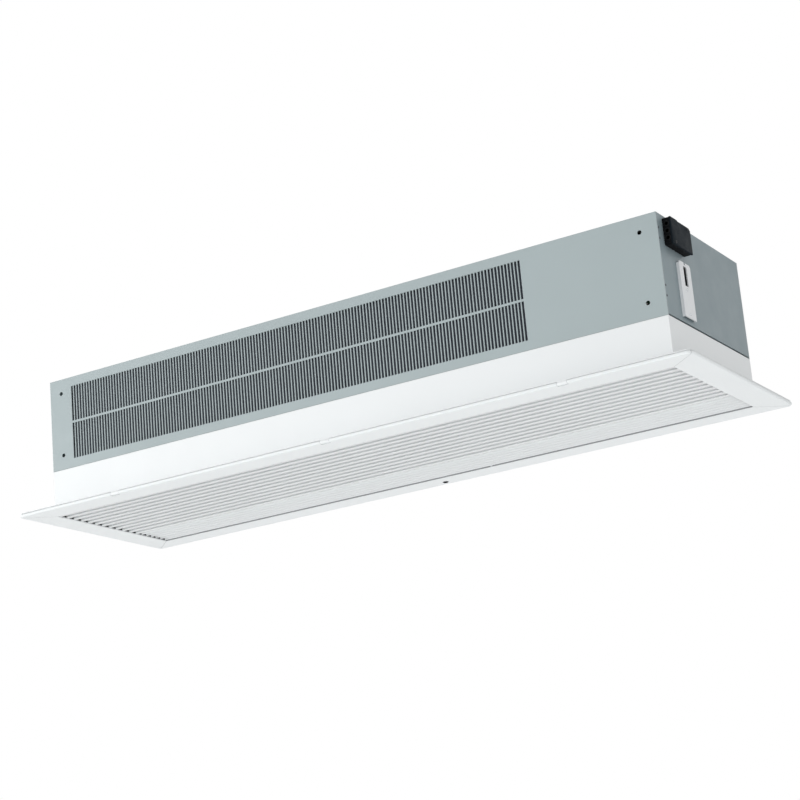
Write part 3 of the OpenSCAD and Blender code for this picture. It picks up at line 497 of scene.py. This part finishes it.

# Ceiling collar: white powder-coated steel, folded to a box with a broad flange that hides the ceiling
# cut-out. The three hinge eyes are welded to its underside and painted with it.
# The white coat's edge colour is lighter than its colour: a painted highlight along the edges
white_paint = {"Edge Colour": linear(241, 243, 244), "Drift": 0.006, "Gloss Low": 0.32, "Gloss High": 0.42}
collar_paint = finish_of("collar_paint", coat, {"Colour": linear(232, 235, 236), **white_paint}, ior=1.45)
dress(collar_paint, "ceiling_collar", "hinge_knuckles")

# Gasket: a strip of closed-cell rubber between the collar and the casing. Its dark grey is painted shade
# that draws the dark line under the end plate. Moulded and foamed pieces share a fine pebbled grain, and a
# lighter edge colour paints a highlight along their edges.
moulded, given, result = effect(
    "moulded_grain",
    [
        ("Colour", "Color", (0.05, 0.05, 0.05, 1)),
        ("Edge Colour", "Color", (0.1, 0.1, 0.1, 1)),
        ("Grain Scale", "Float", 1400.0),
        ("Edge Radius", "Float", 0.0005),
        ("Gloss Low", "Float", 0.45),
        ("Gloss High", "Float", 0.6),
    ],
    [("Colour", "Color"), ("Roughness", "Float"), ("Height", "Float"), ("Normal", "Vector")],
)
place = wire(moulded, "ShaderNodeTexCoord").outputs["Object"]
# Painted highlight: the edges take the lighter edge colour
soft, edge = rounding(moulded, given["Edge Radius"], 4, 0.85, 0.8)
tone = spread(moulded, noise(moulded, place, 60.0, 4.0), 0.9, 1.1)
shade = wire(moulded, "ShaderNodeMix", {
    "Factor": edge, "A": tinted(moulded, given["Colour"], tone), "B": given["Edge Colour"],
}, data_type="RGBA")
moulded.links.new(shade.outputs["Result"], result.inputs["Colour"])
gloss = spread(moulded, noise(moulded, place, 120.0, 3.0), given["Gloss Low"], given["Gloss High"])
moulded.links.new(gloss, result.inputs["Roughness"])
pebbles = wire(moulded, "ShaderNodeTexVoronoi", {"Vector": place, "Scale": given["Grain Scale"]})
moulded.links.new(pebbles.outputs["Distance"], result.inputs["Height"])
moulded.links.new(soft, result.inputs["Normal"])


def plastic_of(name, colour, edge_colour, grain, gloss, bump=0.00003, shine=0.5):
    """A moulded plastic or rubber."""
    return finish_of(name, moulded, {
        "Colour": colour, "Edge Colour": edge_colour, "Grain Scale": grain, "Gloss Low": gloss[0],
        "Gloss High": gloss[1],
    }, bump=bump, ior=1.48, specular_ior_level=shine)


foam_rubber = plastic_of("foam_rubber", linear(58, 61, 63), linear(74, 77, 79), 900, (0.75, 0.9), bump=0.0001)
dress(foam_rubber, "collar_gasket")

# Collar screws and nuts: zinc-plated hex screws through the casing's floor returns and the collar, ten in
# all, with chamfered hex heads below and full nuts above.
def hexagon(angle, height):
    """The outline of a six-sided bar, as a share of the circle through its corners."""
    return math.cos(math.pi / 6) / math.cos(angle % (math.pi / 3) - math.pi / 6)


screw_pitch = 0.001
form = bmesh.new()
for low, high in solids("collar_screws"):
    reach = (high.x - low.x) / 2
    head = 0.0025
    shank = reach / 1.8
    end = high.z - low.z
    turned(form, ((low.x + high.x) / 2, (low.y + high.y) / 2, low.z), (0, 0, 1), [
        (0, 0), (reach * 0.8, 0), (reach * 0.86, head * 0.08), (reach, head * 0.34, hexagon),
        (reach, head, hexagon),
        (shank, head),
        *thread(head, end - shank * 0.3, shank, screw_pitch),
        (shank * 0.7, end), (0, end),
    ], sides=24)
piece("hex_screws", form, bright_zinc, "root", "steel", "collar_screws")
form = bmesh.new()
for low, high in solids("collar_nuts"):
    reach = (high.x - low.x) / 2
    tall = high.z - low.z
    bore = reach * 0.567
    turned(form, ((low.x + high.x) / 2, (low.y + high.y) / 2, low.z), (0, 0, 1), [
        (bore, tall * 0.1), (bore * 1.1, 0), (reach * 0.84, 0), (reach, tall * 0.16, hexagon),
        (reach, tall * 0.84, hexagon), (reach * 0.84, tall), (bore * 1.1, tall), (bore, tall * 0.9),
        (bore, tall * 0.1),
    ], sides=24)
bmesh.ops.remove_doubles(form, verts=form.verts, dist=weld)
piece("hex_nuts", form, bright_zinc, "root", "steel", "collar_nuts")

# Inner sheets: the partition of the electrical bay, the scroll and cut-off round the impeller, the cheek,
# the motor's cradle and straps and the bay's cover, all bent from galvanised sheet with its spangle.
# The galvanised sheet is given a dark grey: painted shade for the inside of the casing
galvanised = finish_of("galvanised", spangle, {
    "Colour": linear(138, 143, 146), "Spangle Scale": 130, "Tone": 0.1, "Gloss Low": 0.5, "Gloss High": 0.72,
}, bump=0.00004, metallic=0.6)
dress(
    galvanised, "bay_partition", "scroll_wall", "cutoff_plate", "fan_cheek", "heater_bracket", "motor_cradle",
    "motor_straps", "bay_cover", "lock_nut_plate",
)

# Filter mat: a washable sheet of dark open-cell foam behind the slots. It stands between two extruded rails
# in black anodised aluminium, which are bonded to the front panel and to the return of the top sheet. The
# mat's dark colour is painted shade: a dark sheet that makes the slots read evenly dark.
def lofted(form, rings):
    """Adds skins between outlines that have the same number of points."""
    made = [[form.verts.new(point) for point in ring] for ring in rings]
    for first, second in zip(made, made[1:]):
        bridge(form, first, second)
    return made


def closed(rings):
    """A form lofted through outlines and closed flat at both ends."""
    form = bmesh.new()
    made = lofted(form, rings)
    form.faces.new(made[0])
    form.faces.new(made[-1])
    bmesh.ops.recalc_face_normals(form, faces=form.faces)
    return form


mat_x = (-0.4715, 0.3045)
mat_y = (-0.1275, -0.1213)
mat_z = (0.0717, 0.1905)
mat_edge = 0.0008
lower_rail = [
    (-0.1317, 0.0663), (-0.1309, 0.0663), (-0.1309, 0.0707), (-0.1205, 0.0707), (-0.1205, 0.0757),
    (-0.1213, 0.0757), (-0.1213, 0.0715), (-0.1275, 0.0715), (-0.1275, 0.0745), (-0.1283, 0.0745),
    (-0.1283, 0.0715), (-0.1317, 0.0715),
]
upper_rail = [
    (-0.1305, 0.1965), (-0.1297, 0.1965), (-0.1297, 0.1915), (-0.1205, 0.1915), (-0.1205, 0.1865),
    (-0.1213, 0.1865), (-0.1213, 0.1907), (-0.1275, 0.1907), (-0.1275, 0.1877), (-0.1283, 0.1877),
    (-0.1283, 0.1907), (-0.1305, 0.1907),
]
filter_shade_foam = plastic_of(
    "filter_shade_foam", linear(64, 68, 76), linear(72, 76, 84), 620, (0.85, 0.95), bump=0.0003, shine=0.1,
)
mat_outline = [(mat_y[0], mat_z[0]), (mat_y[1], mat_z[0]), (mat_y[1], mat_z[1]), (mat_y[0], mat_z[1])]
form = closed([[(x, y, z) for y, z in mat_outline] for x in mat_x])
bmesh.ops.bevel(form, geom=form.edges[:], offset=mat_edge, segments=3, profile=0.5, affect="EDGES")
piece("filter_mat", form, filter_shade_foam, "root", "rubber")
black_anodised = metal_of(
    "black_anodised", linear(40, 42, 45), (60, 1500, 1500), 0.08, (0.4, 0.55), metallic=0.4,
)
form = bmesh.new()
for section in (lower_rail, upper_rail):
    made = lofted(form, [[(x, y, z) for y, z in section] for x in mat_x])
    form.faces.new(made[0])
    form.faces.new(made[-1])
piece("filter_rails", form, black_anodised, "root", "steel")

# Bay cover screws: six pan heads with a cross recess, driven up through the cover's edge.
def cross(angle, height):
    """The outline of a cross recess, as a share of its arms' length."""
    wide = 0.3
    long, short = sorted((abs(math.cos(angle)), abs(math.sin(angle))), reverse=True)
    along = min(1 / long, wide / short if short else 9)
    beside = min(wide / long, 1 / short if short else 9)
    return max(along, beside)


def pan_head(reach, tall):
    """The rings of a pan head with its cross recess, from the bottom of the recess out to the seat."""
    recess = reach * 0.5
    return [
        (0, tall * 0.25), (recess * 0.7, tall * 0.3, cross), (recess, tall, cross), (reach * 0.6, tall),
        (reach * 0.84, tall * 0.86), (reach * 0.97, tall * 0.5), (reach, tall * 0.2), (reach, 0),
    ]


def pan_screw(form, place, axis, reach, tall, end, shank=0.62, pitch=screw_pitch):
    """Adds a screw whose head is seated at a place. The shank is a share of the head's radius."""
    turned(form, place, axis, [
        *pan_head(reach, tall), *thread(-end * 0.9, 0, reach * shank, pitch)[::-1],
        (reach * 0.4, -end), (0, -end),
    ], sides=32)


form = bmesh.new()
for low, high in solids("bay_cover_screws"):
    head = 0.0012
    middle = ((low.x + high.x) / 2, (low.y + high.y) / 2, low.z + head)
    pan_screw(form, middle, (0, 0, -1), (high.x - low.x) / 2, head, high.z - low.z - head)
piece("cover_screws", form, bright_zinc, "root", "steel", "bay_cover_screws")

# Impeller: pressed aluminium blades through thin rings between two discs, on rubber hubs that keep the
# motor's hum from the blades. Its dark grey is painted shade for the inside of the casing.
impeller_metal = metal_of(
    "impeller_metal", linear(122, 128, 132), (60, 1200, 1200), 0.1, (0.42, 0.58), metallic=0.7,
)
dress(impeller_metal, "fan_impeller")
black_rubber = plastic_of("black_rubber", linear(44, 46, 48), linear(60, 62, 64), 1100, (0.6, 0.75))
dress(black_rubber, "fan_hubs")

# Shafts and bearing: ground steel shafts, a ball bearing with its ground rings, and the cast housing that
# holds it on the cheek. The hinge pins of the louvre face are of the same steel.
ground_steel = metal_of("ground_steel", linear(176, 179, 182), (1800, 90, 90), 0.06, (0.2, 0.32))
dress(ground_steel, "fan_stub_shaft", "motor_shaft", "fan_bearing", "hinge_pins")
cast_zinc = metal_of("cast_zinc", linear(150, 153, 156), (700, 700, 700), 0.1, (0.5, 0.7), metallic=0.8)
dress(cast_zinc, "bearing_housing")

# Motor: an aluminium casing, turned where the end shields seat, which hangs in its cradle in the bay. The
# run capacitor stands in an aluminium can beside it.
turned_aluminium = metal_of("turned_aluminium", linear(186, 189, 192), (1500, 60, 60), 0.07, (0.34, 0.48))
dress(turned_aluminium, "motor_casing", "run_capacitor")

# Heater tubes: sheathed elements across the outlet duct, of steel that has browned a little with heat, and
# the black overheat cut-out beside them.
browned_steel = metal_of("browned_steel", linear(134, 128, 122), (60, 700, 700), 0.12, (0.36, 0.5))
dress(browned_steel, "heater_tubes")
black_plastic = plastic_of(
    "black_plastic", linear(14, 15, 18), linear(24, 26, 30), 1500, (0.5, 0.62), shine=0.08,
)
dress(black_plastic, "overheat_cutout")

# Control board: green solder mask over copper tracks, with blue relays, white stand-offs and the terminal
# strip that the cables from the box end in.
mask, given, result = effect(
    "solder_mask",
    [("Colour", "Color", (0.1, 0.3, 0.2, 1)), ("Track Colour", "Color", (0.2, 0.4, 0.3, 1))],
    [("Colour", "Color"), ("Roughness", "Float"), ("Height", "Float")],
)
place = wire(mask, "ShaderNodeTexCoord").outputs["Object"]
upright = wire(mask, "ShaderNodeMapping", {"Vector": place, "Rotation": (math.pi / 2, 0, 0)}).outputs[0]
tracks = wire(mask, "ShaderNodeTexBrick", {
    "Vector": upright, "Scale": 60.0, "Mortar Size": 0.09, "Mortar Smooth": 0.1, "Brick Width": 0.7,
    "Row Height": 0.16,
}, offset_frequency=3, squash=0.6, squash_frequency=4).outputs["Fac"]
shade = wire(mask, "ShaderNodeMix", {
    "Factor": tracks, "A": tinted(mask, given["Colour"], spread(mask, noise(mask, place, 70.0), 0.94, 1.06)),
    "B": given["Track Colour"],
}, data_type="RGBA")
mask.links.new(shade.outputs["Result"], result.inputs["Colour"])
mask.links.new(spread(mask, tracks, 0.28, 0.4), result.inputs["Roughness"])
mask.links.new(tracks, result.inputs["Height"])
board_green = finish_of("board_green", mask, {
    "Colour": linear(28, 84, 52), "Track Colour": linear(52, 118, 74),
}, bump=0.00003, ior=1.5)
dress(board_green, "control_board")
relay_blue = plastic_of("relay_blue", linear(36, 62, 122), linear(66, 92, 150), 1600, (0.32, 0.42))
dress(relay_blue, "board_relays")
white_plastic = plastic_of("white_plastic", linear(222, 222, 216), linear(236, 236, 232), 1600, (0.36, 0.48))
dress(white_plastic, "board_standoffs", "terminal_strip")

# Suspension brackets: zinc-plated steel hats on the end plates, each with a slot for a wall bolt,
# cut corners and a notch over the slot. Their zinc is given near-white and hardly metallic, which is painted
# light that brightens the shaded flanks. Two pan-head screws hold each.
bracket_zinc_painted_light = metal_of(
    "bracket_zinc_painted_light", linear(228, 231, 233), (700, 700, 90), 0.03, (0.42, 0.55), metallic=0.05,
)
dress(bracket_zinc_painted_light, "suspension_brackets")
form = bmesh.new()
bracket_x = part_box("suspension_brackets")[1][0]
for low, high in solids("bracket_screws"):
    side = math.copysign(1, low.x)
    tall = max(-low.x, high.x) - bracket_x
    middle = (side * bracket_x, (low.y + high.y) / 2, (low.z + high.z) / 2)
    pan_screw(form, middle, (side, 0, 0), (high.z - low.z) / 2, tall, high.x - low.x - tall)
piece("pan_screws", form, bright_zinc, "root", "steel", "bracket_screws")

# Terminal box: moulded in black plastic and screwed to the end plate. The lid has cut edges, a bevelled
# upper corner and a low step along its top, and dark screws hold it at two corners.
def set_in(points, by):
    """A closed outline in the plane of the end plate, moved inwards by a distance."""
    moved = []
    for before, here, after in zip(points[-1:] + points[:-1], points, points[1:] + points[:1]):
        first = (Vector(here) - Vector(before)).normalized()
        second = (Vector(after) - Vector(here)).normalized()
        inward = Vector((-first.y - second.y, first.x + second.x)) / (1 + first.dot(second))
        moved.append(tuple(Vector(here) + inward * by))
    return moved


def eased(points, radius, steps=4):
    """A closed outline with its corners rounded off."""
    made = []
    for before, here, after in zip(points[-1:] + points[:-1], points, points[1:] + points[:1]):
        here = Vector(here)
        start = here + (Vector(before) - here).normalized() * radius
        end = here + (Vector(after) - here).normalized() * radius
        for step in range(steps + 1):
            share = step / steps
            made.append(tuple(start.lerp(here, share).lerp(here.lerp(end, share), share)))
    return made


box_low, box_high = [Vector(corner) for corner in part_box("terminal_box")]
lid_low, lid_high = [Vector(corner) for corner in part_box("terminal_box_cover")]
wall = 0.002
draft = 0.0004
box_corner = 0.0026
port_r = 0.00325
box_outline = [
    (box_low.y, box_low.z), (box_high.y, box_low.z), (box_high.y, box_high.z), (box_low.y, box_high.z),
]


def on_end(x, points, radius, by=0.0):
    """An outline moved inwards, rounded off and set at a distance along the length of the unit."""
    return [(x, y, z) for y, z in eased(set_in(points, by), radius)]


def cut_from(target, *tools):
    """Cuts closed forms out of another and gives the result as one mesh form."""
    made = bpy.data.objects.new("blank", bpy.data.meshes.new("blank"))
    target.to_mesh(made.data)
    bpy.context.scene.collection.objects.link(made)
    helpers = [made]
    for tool in tools:
        helper = bpy.data.objects.new("cutter", bpy.data.meshes.new("cutter"))
        bmesh.ops.recalc_face_normals(tool, faces=tool.faces)
        tool.to_mesh(helper.data)
        tool.free()
        bpy.context.scene.collection.objects.link(helper)
        cut = made.modifiers.new("cut", "BOOLEAN")
        cut.object = helper
        cut.solver = "EXACT"
        helpers.append(helper)
    bpy.context.view_layer.update()
    result = bmesh.new()
    result.from_object(made, bpy.context.evaluated_depsgraph_get())
    target.free()
    for helper in helpers:
        spent = helper.data
        bpy.data.objects.remove(helper)
        bpy.data.meshes.remove(spent)
    return result


shell = closed([
    on_end(x, box_outline, box_corner, by)
    for x, by in ((box_low.x, draft), (box_low.x + draft, 0), (box_high.x - draft, 0), (box_high.x, draft))
])
cavity = closed([
    on_end(x + wall, box_outline, box_corner - wall, wall) for x in (box_low.x, box_high.x)
])
ports = solids("cable_ports")
port_holes = []
for low, high in ports:
    hole = bmesh.new()
    turned(hole, ((low.x + high.x) / 2, box_low.y, (low.z + high.z) / 2), (0, 1, 0), [
        (0, -wall), (port_r, -wall), (port_r, wall * 2), (0, wall * 2),
    ])
    port_holes.append(hole)
box_form = cut_from(shell, cavity, *port_holes)
piece("box_body", box_form, black_plastic, "root", "black_plastic", "terminal_box")

bevel = 0.0042
step_share = 0.36
step_h = 0.0011
lid_corner = 0.0006
seat_r = 0.0013
lid_w = lid_high.y - lid_low.y
lid_t = lid_high.x - lid_low.x
step_y = lid_low.y + lid_w * step_share
lid_outline = [
    (lid_low.y, lid_low.z), (lid_high.y, lid_low.z), (lid_high.y, lid_high.z - bevel),
    (lid_high.y - bevel, lid_high.z - step_h), (step_y, lid_high.z - step_h), (step_y - step_h, lid_high.z),
    (lid_low.y, lid_high.z),
]
lid = closed([
    on_end(lid_low.x + lid_t * share, lid_outline, lid_corner, by)
    for share, by in ((0, draft), (0.12, 0), (0.8, 0), (0.95, draft * 0.4), (1, draft))
])
seats = []
for low, high in solids("terminal_box_screws"):
    seat = bmesh.new()
    turned(seat, (high.x, (low.y + high.y) / 2, (low.z + high.z) / 2), (1, 0, 0), [
        (0, -lid_t * 2), (seat_r, -lid_t * 2), (seat_r, lid_t), (0, lid_t),
    ])
    seats.append(seat)
# The lid's lighter edge colour paints the highlight on its bevelled edges
lid_plastic = plastic_of("lid_plastic", linear(20, 28, 34), linear(42, 47, 53), 1500, (0.5, 0.62), shine=0.05)
piece("box_lid", cut_from(lid, *seats), lid_plastic, "root", "black_plastic", "terminal_box_cover")

# Cable ports: stepped rubber grommets in the side wall of the box, one for each cable, open through.
form = bmesh.new()
for low, high in ports:
    reach = (high.z - low.z) / 2
    bore = reach * 0.568
    neck = reach * 0.727
    out = high.y - low.y
    flange = out * 0.273
    turned(form, ((low.x + high.x) / 2, low.y, (low.z + high.z) / 2), (0, 1, 0), [
        (bore, out * 0.06), (bore * 1.12, 0), (neck, 0), (neck * 1.06, flange * 0.4),
        (reach * 0.95, flange * 0.5), (reach, flange * 0.75), (reach * 0.97, flange), (neck, flange),
        (neck, out * 0.93), (neck * 0.96, out), (bore * 1.06, out), (bore, out * 0.94), (bore, out * 0.06),
    ], sides=32)
bmesh.ops.remove_doubles(form, verts=form.verts, dist=weld)
port_rubber = plastic_of("port_rubber", linear(17, 18, 20), linear(30, 32, 35), 1100, (0.5, 0.65), shine=0.12)
piece("grommets", form, port_rubber, "root", "rubber", "cable_ports")

# Lid screws: two black-plated pan heads with a cross recess, which seat in the holes of the lid.
form = bmesh.new()
for low, high in solids("terminal_box_screws"):
    tall = high.x - lid_high.x
    middle = (lid_high.x, (low.y + high.y) / 2, (low.z + high.z) / 2)
    pan_screw(
        form, middle, (1, 0, 0), (high.z - low.z) / 2, tall, lid_high.x - low.x, shank=0.58, pitch=0.0008,
    )
lid_screw_steel = metal_of(
    "lid_screw_steel", linear(40, 42, 45), (900, 900, 900), 0.12, (0.4, 0.55), metallic=0.4,
)
piece("lid_screws", form, lid_screw_steel, "root", "steel", "terminal_box_screws")

# Louvre face: mitred aluminium extrusions in white, with the intake bars and the close outlet vanes between
# them, all powder coated. The intake bars are darker where they face down, which is painted shade, and the
# rails' edges take a dark grey, a painted shade that draws the mitre seams. Flat angles join the rails, and
# rods carry the bars.
# Painted shade: the rails' edges take a dark grey that draws the mitre seams
shaded_mitre_edge = {"Edge Colour": linear(120, 125, 128), "Edge Radius": 0.0009}
rail_paint = finish_of(
    "rail_paint", coat, {**white_paint, "Colour": linear(230, 234, 235), **shaded_mitre_edge}, ior=1.45,
)
dress(rail_paint, "front_rail", "back_rail", "left_rail", "right_rail")
# The bars and vanes take a lighter white than the rails and the collar: painted light that brightens their
# shaded sides in the gaps
louvre_paint = finish_of("louvre_paint", coat, {"Colour": linear(239, 242, 243), **white_paint}, ior=1.45)
dress(louvre_paint, "outlet_vanes")
# Painted shade: the intake bars' downward faces are darkened by the Shade Below share
intake_paint = finish_of(
    "intake_paint", coat, {"Colour": linear(239, 242, 243), "Film": 0.21, **white_paint}, ior=1.45,
)
dress(intake_paint, "intake_bars")
mill_aluminium = metal_of("mill_aluminium", linear(196, 199, 202), (300, 300, 300), 0.06, (0.34, 0.5))
dress(mill_aluminium, "corner_keys", "cross_rods")

# Seals of the louvre face: rubber combs that the bar ends stand in, and a foam strip in two lengths that
# stops the draught behind the last outlet vane. The black combs and the grey strip are painted shade that
# draws the dark gaps at the bar ends and behind the last vane.
dress(black_rubber, "end_seals")
grey_foam = plastic_of(
    "grey_foam", linear(160, 163, 166), linear(176, 179, 182), 900, (0.75, 0.9), bump=0.0001,
)
dress(grey_foam, "outlet_seals")

# Lock: a socket-head screw that stays captive in its bush near the back edge. A turn of a hex key frees the
# louvre face, which then hangs from the three pins in its front lip.
bush_steel = metal_of("bush_steel", linear(118, 121, 124), (900, 900, 90), 0.06, (0.4, 0.52), metallic=0.3)
dress(bush_steel, "lock_bush")
form = bmesh.new()
low, high = [Vector(corner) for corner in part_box("lock_screw")]
reach = (high.x - low.x) / 2
tall = high.z - low.z
head = tall * 0.417
socket = reach * 0.62
shank = reach * 0.5556
lock_pitch = 0.0007
turned(form, ((low.x + high.x) / 2, (low.y + high.y) / 2, low.z), (0, 0, 1), [
    (0, head * 0.74), (socket * 0.9, head * 0.74, hexagon), (socket, head * 0.7, hexagon),
    (socket, head * 0.08, hexagon), (socket * 1.06, 0), (reach * 0.88, 0), (reach, head * 0.12),
    (reach, head * 0.94), (reach * 0.97, head), (shank, head),
    *thread(head, tall * 0.97, shank, lock_pitch), (shank * 0.8, tall), (0, tall),
], sides=48)
black_oxide = metal_of("black_oxide", linear(34, 36, 39), (900, 900, 900), 0.12, (0.4, 0.55), metallic=0.5)
piece("captive_screw", form, black_oxide, "lock", "steel", "lock_screw")
